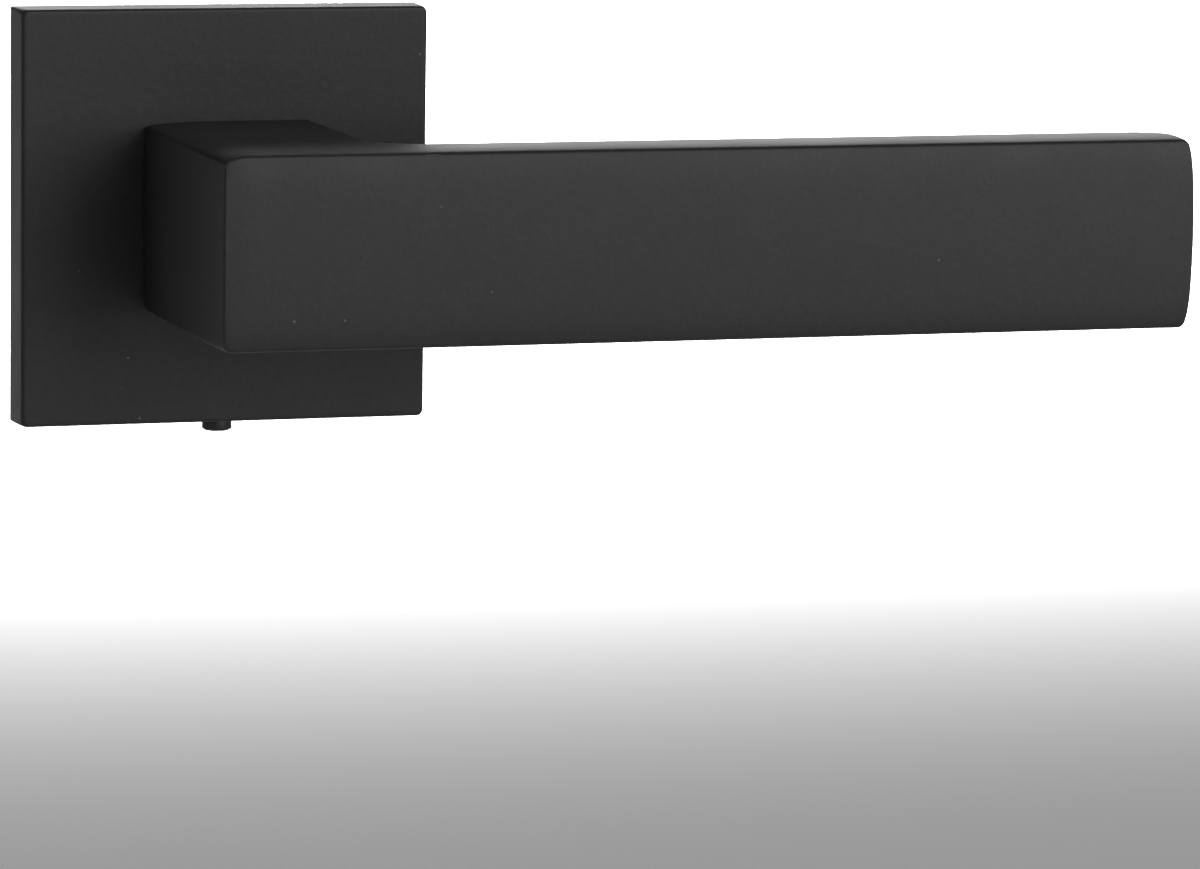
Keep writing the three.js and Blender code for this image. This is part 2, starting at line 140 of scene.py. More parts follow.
def mark_edges(mesh):
    """Writes the edge attribute: at each corner, the largest convex angle between faces that meet there."""
    loops = len(mesh.loops)
    loop_edge, loop_vertex = np.empty(loops, int), np.empty(loops, int)
    mesh.loops.foreach_get("edge_index", loop_edge)
    mesh.loops.foreach_get("vertex_index", loop_vertex)
    areas = np.empty(len(mesh.polygons))
    mesh.polygons.foreach_get("area", areas)
    sizes = np.empty(len(mesh.polygons), int)
    mesh.polygons.foreach_get("loop_total", sizes)
    normals = np.empty(len(sizes) * 3)
    mesh.polygons.foreach_get("normal", normals)
    centres = np.empty(len(sizes) * 3)
    mesh.polygons.foreach_get("center", centres)
    ends = np.empty(len(mesh.edges) * 2, int)
    mesh.edges.foreach_get("vertices", ends)
    normals, centres, ends = normals.reshape(-1, 3), centres.reshape(-1, 3), ends.reshape(-1, 2)
    order = np.argsort(loop_edge, kind="stable")
    face = np.repeat(np.arange(len(sizes)), sizes)[order]
    edge = loop_edge[order]
    pair = np.flatnonzero(edge[1:] == edge[:-1])
    one, two = face[pair], face[pair + 1]
    cosine = np.clip((normals[one] * normals[two]).sum(1), -1, 1)
    convex = ((centres[two] - centres[one]) * normals[one]).sum(1) < 0
    angle = np.where(convex, np.arccos(cosine), 0)
    strongest = np.zeros(len(mesh.vertices))
    np.maximum.at(strongest, ends[edge[pair]].ravel(), np.repeat(angle, 2))
    share = np.clip((strongest - EDGE_FROM) / (EDGE_FULL - EDGE_FROM), 0, 1)[loop_vertex]
    share[np.repeat(areas > FLAT_FACE * MM**2, sizes)] = 0
    attribute = mesh.attributes.new("edge", "FLOAT", "CORNER")
    attribute.data.foreach_set("value", share.astype(np.float32))


def finish_piece(piece, material, slot, body, *nodes):
    """Smooth shading, the edge mark, the material and the place in the frame, for one finished piece."""
    mesh = piece.data
    mesh.polygons.foreach_set("use_smooth", np.ones(len(mesh.polygons), bool))
    mesh.set_sharp_from_angle(angle=SHARP_ANGLE)
    mark_edges(mesh)
    mesh.materials.clear()
    mesh.materials.append(material)
    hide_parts(*nodes)
    if body:
        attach(piece, body)
    low, high = np.array(piece.bound_box).min(0) / MM, np.array(piece.bound_box).max(0) / MM
    size = " x ".join(f"{side:.1f}" for side in high - low)
    print(f"{piece.name}: {len(mesh.polygons)} faces, {size} mm")
    return piece


# %% [markdown]
# ## Cutting and joining
#
# A hole across a flat face doesn't fit a grid. The Boolean modifier cuts it, as a drill does:
# the drill is a closed mesh too, and it is thrown away afterwards.


# %% A Boolean that is applied at once
def carve(piece, tool, operation="DIFFERENCE"):
    """Cuts tool out of piece, or joins it with UNION, and removes the tool."""
    cut = piece.modifiers.new("carve", "BOOLEAN")
    cut.operation = operation
    cut.solver = "EXACT"
    cut.object = tool
    carved = piece.evaluated_get(bpy.context.evaluated_depsgraph_get())
    mesh = bpy.data.meshes.new_from_object(carved)
    piece.modifiers.clear()
    piece.data = mesh
    bpy.data.objects.remove(tool)
    return piece


# %% [markdown]
# ## Turned pieces
#
# Screws, rings and bushes are made on a lathe, and so is their mesh: a profile of radius and
# level goes once round the Y axis. Every corner of the profile is broken a little, because no
# real corner is perfectly sharp and a broken one shows a fine line of light.
#
# A radius may also change on the way round. That is how a hexagon socket or a thread is made
# from the same grid.


# %% Profiles and turning
ROUND = 96  # columns on the way round


def softened(profile, radius=0.12, steps=4):
    """The profile with each inner corner replaced by a short curve: a parabola that the two sides touch."""
    profile = np.array(profile, float)
    smooth = [profile[:1]]
    share = np.linspace(0, 1, steps)[:, None]
    for before, corner, after in zip(profile[:-2], profile[1:-1], profile[2:]):
        reach = [min(radius, np.linalg.norm(other - corner) * 0.45) for other in (before, after)]
        start = corner + (before - corner) / np.linalg.norm(before - corner) * reach[0]
        end = corner + (after - corner) / np.linalg.norm(after - corner) * reach[1]
        smooth.append((1 - share) ** 2 * start + 2 * share * (1 - share) * corner + share**2 * end)
    return np.concatenate(smooth + [profile[-1:]])


def turned(radii, levels, columns=ROUND):
    """Points round the Y axis: radii has a row for each level, and may change from column to column."""
    radii = np.asarray(radii, float)
    radii = radii[:, None] if radii.ndim == 1 else radii
    angle = 2 * np.pi * np.arange(columns) / columns
    level = np.asarray(levels, float)[:, None] + np.zeros(columns)
    return np.stack([radii * np.cos(angle), level, radii * np.sin(angle)], axis=-1)


def lathe(profile, radius=0.12, columns=ROUND):
    """A closed turned shape: a loop of (radius, level) corners, or a chain from axis to axis."""
    chain = np.array(profile, float)
    if chain[0, 0] > 0:  # a ring: start in the middle of a side, so that every corner is an inner one
        middle = (chain[-1] + chain[0]) / 2
        chain = np.concatenate([[middle], chain, [middle]])
    smooth = softened(chain, radius)
    return turned(smooth[:, 0], smooth[:, 1], columns)


def smooth_step(value, low, high):
    """0 up to low, 1 from high on, and a smooth S between."""
    share = np.clip((value - low) / (high - low), 0, 1)
    return share * share * (3 - 2 * share)


def shifted(grid, x=0, y=0, z=0):
    return grid + np.array([x, y, z], float)


def upright(grid):
    """A shape about the Y axis stood up about the Z axis, with its y = 0 end at the bottom."""
    return grid[..., [0, 2, 1]]


# %% [markdown]
# ## Pieces that keep their CAD shape
#
# The mounting plate, the sprung follower and the circlip are already right in every hole and
# slot. Only their edges are too sharp for a casting or a stamping. The CAD mesh itself stays
# untouched: a copy is welded, its flat triangles are joined into larger faces, and a Bevel
# modifier breaks every edge that is sharper than a given angle.


# %% A copy of a CAD node with broken edges
FLAT = math.radians(0.6)


def broken_edges(node, name, width, segments=2):
    """A copy of a CAD node whose edges are bevelled by width millimetres."""
    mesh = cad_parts[node].data.copy()
    mesh.name = name
    shape = bmesh.new()
    shape.from_mesh(mesh)
    bmesh.ops.remove_doubles(shape, verts=shape.verts, dist=WELD)
    bmesh.ops.dissolve_limit(shape, angle_limit=FLAT, verts=shape.verts, edges=shape.edges)
    shape.to_mesh(mesh)
    shape.free()
    piece = bpy.data.objects.new(name, mesh)
    bpy.context.scene.collection.objects.link(piece)
    bevel = piece.modifiers.new("break edges", "BEVEL")
    bevel.width = width * MM
    bevel.segments = segments
    bevel.limit_method = "ANGLE"
    bevel.angle_limit = SHARP_ANGLE
    bevel.use_clamp_overlap = True
    bevelled = piece.evaluated_get(bpy.context.evaluated_depsgraph_get())
    piece.data = bpy.data.meshes.new_from_object(bevelled)
    piece.modifiers.clear()
    flat = piece.modifiers.new("keep flats flat", "WEIGHTED_NORMAL")
    flat.keep_sharp = True
    return piece


# %% [markdown]
# ## Shader sums
#
# A material is a small network of nodes. Written as Python it reads like the sum it stands for:
# `0.5 + 0.1 * clouds` adds one Multiply and one Add node. The class wraps a socket, and its
# `node` method adds any other node.


# %% A class for shader sums
class Flow:
    """A value that flows through a material's nodes."""

    def __init__(self, tree, socket=None):
        self.tree = tree
        self.socket = socket

    def node(self, kind, settings=None, inputs=None, output=0):
        """Adds a node: its settings first, then a value or a link for each socket. Gives one output."""
        made = self.tree.nodes.new(kind)
        for key, value in (settings or {}).items():
            setattr(made, key, value)
        for key, value in (inputs or {}).items():
            if isinstance(value, Flow):
                self.tree.links.new(value.socket, made.inputs[key])
            else:
                made.inputs[key].default_value = value
        return Flow(self.tree, made.outputs[output])

    def sum(self, operation, first, second):
        return self.node("ShaderNodeMath", {"operation": operation}, {0: first, 1: second})

    def __add__(self, other):
        return self.sum("ADD", self, other)

    def __radd__(self, other):
        return self.sum("ADD", other, self)

    def __sub__(self, other):
        return self.sum("SUBTRACT", self, other)

    def __rsub__(self, other):
        return self.sum("SUBTRACT", other, self)

    def __mul__(self, other):
        return self.sum("MULTIPLY", self, other)

    def __rmul__(self, other):
        return self.sum("MULTIPLY", other, self)


# %% Patterns that several finishes share
def grain(place, size, detail=2.0):
    """Soft noise from 0 to 1 with blotches about size metres across."""
    return place.node("ShaderNodeTexNoise", {}, {"Vector": place, "Scale": 1 / size, "Detail": detail})


def stretched(place, x=1.0, y=1.0, z=1.0):
    """Coordinates that make a pattern longer along an axis: 0.1 makes it ten times as long."""
    return place.node("ShaderNodeVectorMath", {"operation": "MULTIPLY"}, {0: place, 1: (x, y, z)})


def fade(value, low, high):
    """0 up to low, 1 from high on, and a smooth S between; low may be the larger one."""
    inputs = {"Value": value, "From Min": low, "From Max": high}
    return value.node("ShaderNodeMapRange", {"interpolation_type": "SMOOTHSTEP"}, inputs)


def dye(share, first, second):
    """A colour between first and second, by share."""
    return share.node("ShaderNodeMix", {"data_type": "RGBA"}, {0: share, 6: first, 7: second}, 2)


def grey(level, tint=(1.0, 1.0, 1.0)):
    """A colour from its brightness and a tint."""
    return (level * tint[0], level * tint[1], level * tint[2], 1.0)


def new_finish(name, **constants):
    """A new material: its Principled shader with the constant sockets set, and the object's coordinates."""
    material = bpy.data.materials.new(name)
    material.use_nodes = True
    shader = material.node_tree.nodes["Principled BSDF"]
    for key, value in constants.items():
        shader.inputs[key.replace("_", " ")].default_value = value
    flow = Flow(material.node_tree)
    place = flow.node("ShaderNodeTexCoord", output="Object")
    edge = flow.node("ShaderNodeAttribute", {"attribute_name": "edge"}, output="Fac")
    return material, shader, place, edge


def plug(shader, colour, roughness, height, depth, strength=1.0):
    """Links what varies to the shader: colour, roughness, and a height that a Bump node makes relief."""
    bump = {"Height": height, "Distance": depth, "Strength": strength}
    relief = height.node("ShaderNodeBump", {}, bump, "Normal")
    links = colour.tree.links
    links.new(colour.socket, shader.inputs["Base Color"])
    links.new(roughness.socket, shader.inputs["Roughness"])
    links.new(relief.socket, shader.inputs["Normal"])


# %% [markdown]
# ## Black powder coat
#
# The lever and the cover are sprayed with fine plastic powder and baked. The skin is matt and
# slightly pebbled, like very fine orange peel: bumps less than a millimetre across and a few
# hundredths deep, with a finer sand on top. The black is not quite even, and a few grains of
# pale dust are baked in. On the tight edges the skin is smoother, and its colour is painted a
# little darker there: a painted shade for the dark line that the edges show.


# %% Powder coat
def powder_coat():
    material, shader, place, edge = new_finish("powder_coat", Specular_IOR_Level=0.42)
    peel = grain(place, 0.9 * MM, 1.0)
    sand = grain(place, 0.3 * MM, 1.0)
    clouds = grain(place, 7 * MM, 3.0)
    black = dye(clouds, grey(0.015), grey(0.018))
    mottled = dye(fade(peel, 0.35, 0.7), black, grey(0.019))
    cells = {"Vector": place, "Scale": 1 / (6 * MM)}
    spot = place.node("ShaderNodeTexVoronoi", {}, cells, "Distance")
    dust = fade(spot, 0.032, 0.02)
    dusty = dye(dust, mottled, grey(0.10))
    # painted shade: the tight edges are darkened in colour to draw the dark line their rounding shows
    painted_edge_shade = dye(edge * 0.3, dusty, grey(0.008))
    roughness = 0.47 + 0.08 * clouds - 0.06 * edge
    plug(shader, painted_edge_shade, roughness, peel * 0.7 + sand * 0.3, 0.05 * MM, 0.55)
    return material


POWDER = powder_coat()


# %% [markdown]
# ## Metals and nylon
#
# Each metal shows how it was made. A casting is dull and clouded with tiny pits. Plated steel
# is bright with a faint blue or yellow cast. Drawn wire and rolled strip have fine lines along
# the way they were pulled. Bronze for a bush is sintered, so it looks grainy and a little oily.


# %% Metal finishes
def metal(name, dark, bright, roughness, pits, lines=None, tint=(1, 1, 1)):
    """A metal: brightness between dark and bright, a base roughness, pits and optional lines."""
    material, shader, place, edge = new_finish(name, Metallic=1.0)
    clouds = grain(place, 5 * MM, 4.0)
    pitted = grain(place, pits, 2.0)
    height = pitted
    if lines:
        streaks = grain(stretched(place, *lines), 0.25 * MM, 2.0)
        height = 0.3 * pitted + 0.7 * streaks
    colour = dye(fade(clouds, 0.3, 0.7), grey(dark, tint), grey(bright, tint))
    rubbed = dye(edge * 0.6, colour, grey(min(1.0, bright * 1.25), tint))
    plug(shader, rubbed, roughness + 0.14 * clouds - 0.1 * edge, height, 0.02 * MM, 0.5)
    return material


ZINC_PLATE = metal("zinc_plate", 0.46, 0.62, 0.24, 0.5 * MM, tint=(0.97, 1.0, 1.03))
ZINC_CAST = metal("zinc_casting", 0.30, 0.42, 0.42, 0.35 * MM, tint=(0.98, 1.0, 1.02))
STEEL = metal("plain_steel", 0.26, 0.38, 0.30, 0.3 * MM)
SPRING_STEEL = metal("spring_steel", 0.10, 0.18, 0.30, 0.3 * MM, tint=(1.0, 0.98, 0.95))
DRAWN_ZINC = metal(
    "drawn_zinc_plate", 0.46, 0.62, 0.24, 0.5 * MM, lines=(1, 0.04, 1), tint=(0.97, 1.0, 1.03)
)
BLACK_OXIDE = metal("black_oxide", 0.03, 0.05, 0.46, 0.25 * MM)
BRONZE = metal("sintered_bronze", 0.32, 0.45, 0.38, 0.18 * MM, tint=(1.0, 0.72, 0.38))


def nylon():
    material, shader, place, edge = new_finish("nylon", Specular_IOR_Level=0.5, Subsurface_Weight=0.2)
    shader.inputs["Subsurface Radius"].default_value = (MM, MM, MM)
    clouds = grain(place, 4 * MM, 2.0)
    colour = dye(clouds, (0.66, 0.64, 0.57, 1), (0.76, 0.74, 0.68, 1))
    plug(shader, colour, 0.42 + 0.1 * clouds - 0.05 * edge, grain(place, 0.4 * MM), 0.02 * MM, 0.4)
    return material


NYLON = nylon()
print("finishes:", len(bpy.data.materials))

# %% [markdown]
# ## The lever
#
# The lever is one casting: a square neck that comes out of the rose, and a flat arm at a right
# angle to it. Seen from above it is an L. A strip follows that L: its outer line runs up the
# neck's left side and along the front, and its inner line runs up the neck's right side, round
# the fillet and along the back of the arm. Straight lines between the two make a grid that
# covers the whole top, with no pole and no odd triangle.
#
# The height of the top is a formula of the place: flat, less what each edge takes away. An edge
# falls like a quarter of an ellipse. The long edge of the neck is polished wide and shallow, the
# top rolls softly towards the front before a tight edge ends it, and the others are tight. The
# side walls join top and bottom and bulge a few tenths of a millimetre, as polished castings do,
# and this soft bulge is what gives the front its gradient. The neck's left side bows out too.

# %% Sizes of the lever
lever_low, lever_high = span("lever_handle")
ring_low, ring_high = span("bearing_ring")
NECK_GAP = 0.4
TOP = lever_high[2]
POLISHED = 0.2  # taken off the neck's left side and the tip
LEFT, TIP, FRONT = lever_low[0] + POLISHED, lever_high[0] - POLISHED, lever_low[1]
NECK_BACK = ring_low[1] - NECK_GAP
NECK_RIGHT = -lever_low[0]
ARM_DEPTH = 8.9
BACK = FRONT + ARM_DEPTH
FILLET = 6.5
TIP_ROUND = 5.0
CORNER = 0.3  # of the upright edges at the front
CROWN = {"left": 0.2, "front": 0.7, "tip": 0.55, "inner": 0.12}
NECK_BOW = 0.6  # how far the neck's left side bulges between the rose and the front
TIGHT = (0.4, 0.4)  # width and depth of an edge's rounding
FRONT_ROLL = (6.0, 0.48)  # the soft roll of the top towards the front
FRONT_EDGE = (0.35, 0.22)  # and the tight edge that ends it
UNDER_FRONT_EDGE = (0.7, 0.6)
TIP_EDGE = (0.9, 0.8)
NECK_EDGE_FRONT = (3.0, 1.15)  # the polished upper left edge, at the front
NECK_EDGE_BACK = (9.0, 0.7)  # and beside the rose
UNDER_EDGE = (1.3, 1.2)
print(f"lever: {TIP - LEFT:.1f} long, {2 * TOP:.1f} high, arm {ARM_DEPTH} deep")


# %% The two lines of the strip
def line(start, end, count):
    """Points on a straight line, both ends included."""
    share = np.linspace(0, 1, count)[:, None]
    return (1 - share) * np.array(start, float) + share * np.array(end, float)


def arc(centre, radius, start, end, count):
    """Points on an arc between two angles in degrees."""
    angle = np.radians(np.linspace(start, end, count))
    return np.array(centre) + radius * np.stack([np.cos(angle), np.sin(angle)], axis=-1)


def chain(*runs):
    """Runs of points joined end to end, without the doubled joints."""
    return np.concatenate([runs[0]] + [run[1:] for run in runs[1:]])


def at_shares(points, shares):
    """The points at given shares of a chain's length."""
    steps = np.linalg.norm(np.diff(points, axis=0), axis=1)
    along = np.concatenate([[0], np.cumsum(steps)]) / steps.sum()
    return np.stack([np.interp(shares, along, points[:, axis]) for axis in range(2)], axis=-1)


def shares_of(points):
    """How far along a chain each of its points lies, from 0 to 1."""
    steps = np.linalg.norm(np.diff(points, axis=0), axis=1)
    return np.concatenate([[0], np.cumsum(steps)]) / steps.sum()


def eased(start, end, count):
    """Points on a straight line that crowd together at its start."""
    share = (np.linspace(0, 1, count) ** 1.8)[:, None]
    return (1 - share) * np.array(start, float) + share * np.array(end, float)


def strip_lines():
    """The outer and the inner line of the L, with as many points each; a pair lies across the strip."""
    left, front = LEFT + CROWN["left"], FRONT + CROWN["front"]
    right, back = NECK_RIGHT - CROWN["inner"], BACK - CROWN["inner"]
    tip = TIP - CROWN["tip"]
    bend = back + FILLET
    tip_bend = tip - TIP_ROUND
    neck_out = line((left, NECK_BACK), (left, bend), 34)
    neck_in = line((right, NECK_BACK), (right, bend), 34)
    corner_out = chain(
        eased((left, front + CORNER), (left, bend), 24)[::-1],
        arc((left + CORNER, front + CORNER), CORNER, 180, 270, 7),
        eased((left + CORNER, front), (right + FILLET, front), 30),
    )
    fillet = arc((right + FILLET, bend), FILLET, 180, 270, 60)
    arm_out = line((right + FILLET, front), (tip_bend, front), 70)
    arm_in = line((right + FILLET, back), (tip_bend, back), 70)
    tip_out = chain(
        eased((tip - CORNER, front), (tip_bend, front), 12)[::-1],
        arc((tip - CORNER, front + CORNER), CORNER, 270, 360, 7),
    )
    tip_in = arc((tip_bend, back - TIP_ROUND), TIP_ROUND, 90, 0, 40)
    outer = chain(neck_out, corner_out, arm_out, tip_out)
    fillet_points = at_shares(fillet, shares_of(corner_out))
    tip_points = at_shares(tip_in, shares_of(tip_out))
    inner = chain(neck_in, fillet_points, arm_in, tip_points)
    return outer, inner


outer_line, inner_line = strip_lines()
print("stations along the lever:", len(outer_line))


# %% The grid across the strip
def rounding_steps(width, count=10):
    """Distances from an edge that follow a quarter circle, so that the bend gets most of the rows."""
    return width * (1 - np.cos(np.linspace(0, np.pi / 2, count)))


def strip_grid(outer, inner, outer_width, inner_width, middle=14):
    """Points on the lines from outer to inner: close rows in both edges' roundings, even rows between."""
    length = np.linalg.norm(inner - outer, axis=1)
    near = np.stack([rounding_steps(width) for width in np.minimum(outer_width, 0.7 * length)])
    far = np.stack([rounding_steps(width) for width in np.full(len(outer), inner_width)])
    hold = 0.03 * length[:, None]
    start = near[:, -1:] + hold
    end = length[:, None] - inner_width - hold
    even = start + (end - start) * np.linspace(0, 1, middle)
    distance = np.concatenate([near, even, length[:, None] - far[:, ::-1]], axis=1)
    share = (distance / length[:, None])[..., None]
    return (1 - share) * outer[:, None] + share * inner[:, None]


# How wide the grid's close rows are on the outer side: wide along the neck, narrower along the front.
along_neck = np.clip((outer_line[:, 1] - FRONT) / (NECK_BACK - FRONT), 0, 1)
past_corner = np.clip((outer_line[:, 0] - LEFT) / NECK_EDGE_FRONT[0], 0, 1)
neck_width = NECK_EDGE_FRONT[0] + (NECK_EDGE_BACK[0] - NECK_EDGE_FRONT[0]) * along_neck
outer_width = neck_width + (FRONT_ROLL[0] - neck_width) * past_corner
plan = strip_grid(outer_line, inner_line, outer_width, TIGHT[0])
print("grid on the lever's top:", plan.shape[:2])


# %% The height of the top and the bottom
def fall(distance, width, depth):
    """How far a rounded edge has fallen at a distance from the wall: a quarter of an ellipse."""
    inside = np.clip(1 - distance / width, 0, 1)
    return depth * (1 - np.sqrt(1 - inside**2))


def distance_to_inner(x, y):
    """Distance to the neck's right side, the fillet, the arm's back or the round of the tip."""
    right, back = NECK_RIGHT - CROWN["inner"], BACK - CROWN["inner"]
    tip_bend = TIP - CROWN["tip"] - TIP_ROUND
    bend = back + FILLET
    to_fillet = np.hypot(x - right - FILLET, y - bend) - FILLET
    to_tip_round = TIP_ROUND - np.hypot(x - tip_bend, y - back + TIP_ROUND)
    distance = np.where(y > bend, right - x, np.where(x < right + FILLET, to_fillet, back - y))
    return np.where((x > tip_bend) & (y > back - TIP_ROUND), to_tip_round, distance)


def cap_height(x, y, neck_edge_front, neck_edge_back, front_edges):
    """Height of the lever's face above its middle plane: full height less the fall of each edge."""
    share = np.clip((y - FRONT) / (NECK_BACK - FRONT), 0, 1)
    width = neck_edge_front[0] + (neck_edge_back[0] - neck_edge_front[0]) * share
    depth = neck_edge_front[1] + (neck_edge_back[1] - neck_edge_front[1]) * share
    fallen = fall(x - LEFT - CROWN["left"], width, depth)
    for edge in front_edges:
        fallen = fallen + fall(y - FRONT - CROWN["front"], *edge)
    fallen = fallen + fall(TIP - CROWN["tip"] - x, *TIP_EDGE)
    fallen = fallen + fall(distance_to_inner(x, y), *TIGHT)
    return TOP - fallen


x, y = plan[..., 0], plan[..., 1]
top_height = cap_height(x, y, NECK_EDGE_FRONT, NECK_EDGE_BACK, [FRONT_ROLL, FRONT_EDGE])
under_height = -cap_height(x, y, UNDER_EDGE, UNDER_EDGE, [UNDER_FRONT_EDGE])


# %% The walls between top and bottom
def border(grid):
    """The grid's rim as one loop: outer line, tip, inner line back, and the neck's back."""
    return np.concatenate([grid[:, 0], grid[-1, 1:], grid[-2::-1, -1], grid[0, -2:0:-1]])


def outward(loop):
    """Unit vectors that point out of a loop of (x, y) points, halfway between its neighbours."""
    along = np.roll(loop, -1, axis=0) - np.roll(loop, 1, axis=0)
    across = np.stack([along[:, 1], -along[:, 0]], axis=-1)
    return across / np.linalg.norm(across, axis=1)[:, None]


def bowed(points):
    """The neck's left side bows out, most of all close behind the front; the bow fades across the neck."""
    front = FRONT + CROWN["front"]
    share = np.clip((points[..., 1] - front) / (NECK_BACK - front), 0, 1)
    bow = NECK_BOW * (1 - (1 - share) ** 14) * (1 - share)
    reach = np.clip(1 - (points[..., 0] - LEFT) / NECK_RIGHT, 0, 1) ** 2
    return np.stack([points[..., 0] - bow * reach, points[..., 1]], axis=-1)


def crown_push(loop, normal):
    """How far the wall moves out at half height, as (x, y); the upright front edges keep their shape."""
    x, y = loop[:, 0], loop[:, 1]
    tip = TIP - CROWN["tip"]
    left = CROWN["left"] * (1 - smooth_step(x, LEFT + 1, LEFT + 9))
    right = CROWN["tip"] * smooth_step(x, tip - TIP_ROUND, tip)
    front = CROWN["front"] * (1 - smooth_step(y, FRONT + 1, FRONT + 6))
    front = front * (0.8 + 0.2 * smooth_step(x, LEFT - 0.5, LEFT + 4))
    inner = CROWN["inner"] * np.clip(normal, 0, 1) ** 2
    beside_neck = x < NECK_RIGHT + FILLET
    before_rose = y < NECK_BACK - 0.01
    return np.stack([right - left + inner[:, 0] * beside_neck, inner[:, 1] * before_rose - front], axis=-1)


plan = bowed(plan)
loop = border(plan)
turning = np.cross(loop, np.roll(loop, -1, axis=0)).sum()
normal = outward(loop) * np.sign(turning)
WALL_ROWS = 36
rise = np.sin(np.linspace(-np.pi / 2, np.pi / 2, WALL_ROWS))[:, None]  # close rows at both rims
rim_top, rim_under = border(top_height), border(under_height)
wall_height = (rim_top + rim_under) / 2 + rise * (rim_top - rim_under) / 2
bulge = 1 - 0.55 * rise**2 - 0.45 * rise**8  # a gentle arch that drops faster near its ends
wall_plan = loop + bulge[..., None] * crown_push(loop, normal)
wall = np.concatenate([wall_plan, wall_height[..., None]], axis=-1)
top = np.concatenate([plan, top_height[..., None]], axis=-1)
under = np.concatenate([plan, under_height[..., None]], axis=-1)
lever = build("lever", [(top, False), (under, False), (wall, True)])

# %% [markdown]
# The neck ends in a round spigot that turns in the rose, with a square socket down its middle
# for the spindle. A grub screw comes up through the underside. The spigot is joined on and the
# socket and the hole are cut, because they meet the casting where no grid line runs.

# %% Spigot, socket and screw hole
spindle_low, spindle_high = span("spindle")
grub_low, grub_high = span("spindle_grub_screw")
SPIGOT_RADIUS = 7.728
SOCKET_ROOM = 0.05
GRUB_HOLE = 3.0
spigot_end = lever_high[1]
grub_y = (grub_low[1] + grub_high[1]) / 2


def four_quarters(quarter):
    """A quarter of an outline and its three turns by a right angle, as one loop."""
    turns = ((1, 0), (0, 1), (-1, 0), (0, -1))
    return np.concatenate([quarter @ np.array([[c, s], [-s, c]]) for c, s in turns])


def scaled_rings(outline, rings):
    """An outline of (x, z) points repeated along Y: one row for each (scale, level)."""
    rows = [(outline[:, 0] * k, np.full(len(outline), y), outline[:, 1] * k) for k, y in rings]
    return np.stack([np.stack(row, axis=-1) for row in rows])


def square_bar(half_side, front, back, corner, columns=16):
    """A closed bar along Y with a rounded square section."""
    quarter = arc((half_side - corner, half_side - corner), corner, 0, 90, columns)
    return scaled_rings(four_quarters(quarter), [(0.0, front), (1.0, front), (1.0, back), (0.0, back)])


spigot_start = NECK_BACK - 2  # inside the neck, so that the two shapes overlap before they join
spigot_profile = [
    (0, spigot_start), (SPIGOT_RADIUS, spigot_start), (SPIGOT_RADIUS, spigot_end), (0, spigot_end),
]
carve(lever, build("spigot", [(lathe(spigot_profile), True)]), "UNION")
half_socket = spindle_high[0] + SOCKET_ROOM
socket = square_bar(half_socket, spindle_low[1] - 0.1, spigot_end + 1, 0.3)
carve(lever, build("socket", [(socket, True)]))
GRUB_BEVEL = 0.4
DRILL_END = -2
bevelled = GRUB_HOLE + GRUB_BEVEL
drill = [
    (0, -TOP - 1), (bevelled, -TOP - 1), (bevelled, -TOP),
    (GRUB_HOLE, GRUB_BEVEL - TOP), (GRUB_HOLE, DRILL_END), (0, DRILL_END),
]
hole = shifted(upright(lathe(drill, radius=0.02)), y=grub_y)
carve(lever, build("drill", [(hole, True)]))
finish_piece(lever, POWDER, "powder_coat", "lever", "lever_handle")

# %% [markdown]
# ## The square cover
#
# The rose's cover is a thin square shell, open at the back, with a round hole for the lever's
# neck. One grid makes it: every row is a loop of points, and from row to row the loop changes
# from a square with small round corners to a circle and back. The rows run from the back rim
# over the side, across the front to the hole, through the wall and back inside.

# %% The cover as loops from square to round
cover_low, cover_high = span("rose_cover")
HALF_SIDE = cover_high[0]
COVER_FRONT = cover_low[1]
COVER_WALL, FRONT_WALL = 1.4, 1.2
SIDE_CORNER, FRONT_CORNER = 0.25, 0.85  # the upright corners get rounder towards the front
COVER_EDGE = 0.45
COVER_HOLE = ring_high[0] - 1.4 + 0.05
COVER_COLUMNS = 320


def square_loop(half_side, corner, angle):
    """A square with round corners, met along rays from its middle at the given angles."""
    quarter = arc((half_side - corner, half_side - corner), corner, 0, 90, 24)
    whole = four_quarters(quarter)
    bearing = np.unwrap(np.arctan2(whole[:, 1], whole[:, 0]))
    ends = np.concatenate([bearing[-1:] - 2 * np.pi, bearing, bearing[:1] + 2 * np.pi])
    loop = np.concatenate([whole[-1:], whole, whole[:1]])
    wrapped = np.mod(angle - bearing[0], 2 * np.pi) + bearing[0]
    return np.stack([np.interp(wrapped, ends, loop[:, axis]) for axis in range(2)], axis=-1)


def cover_bearings(count):
    """Angles for the columns: even along the sides, and closer together in the four corners."""
    even = np.arange(count // 4) / (count // 4)
    pull = even - 0.94 * np.sin(2 * np.pi * even) / (2 * np.pi)
    return np.concatenate([np.pi / 4 + np.pi / 2 * (pull + quarter) for quarter in range(4)])


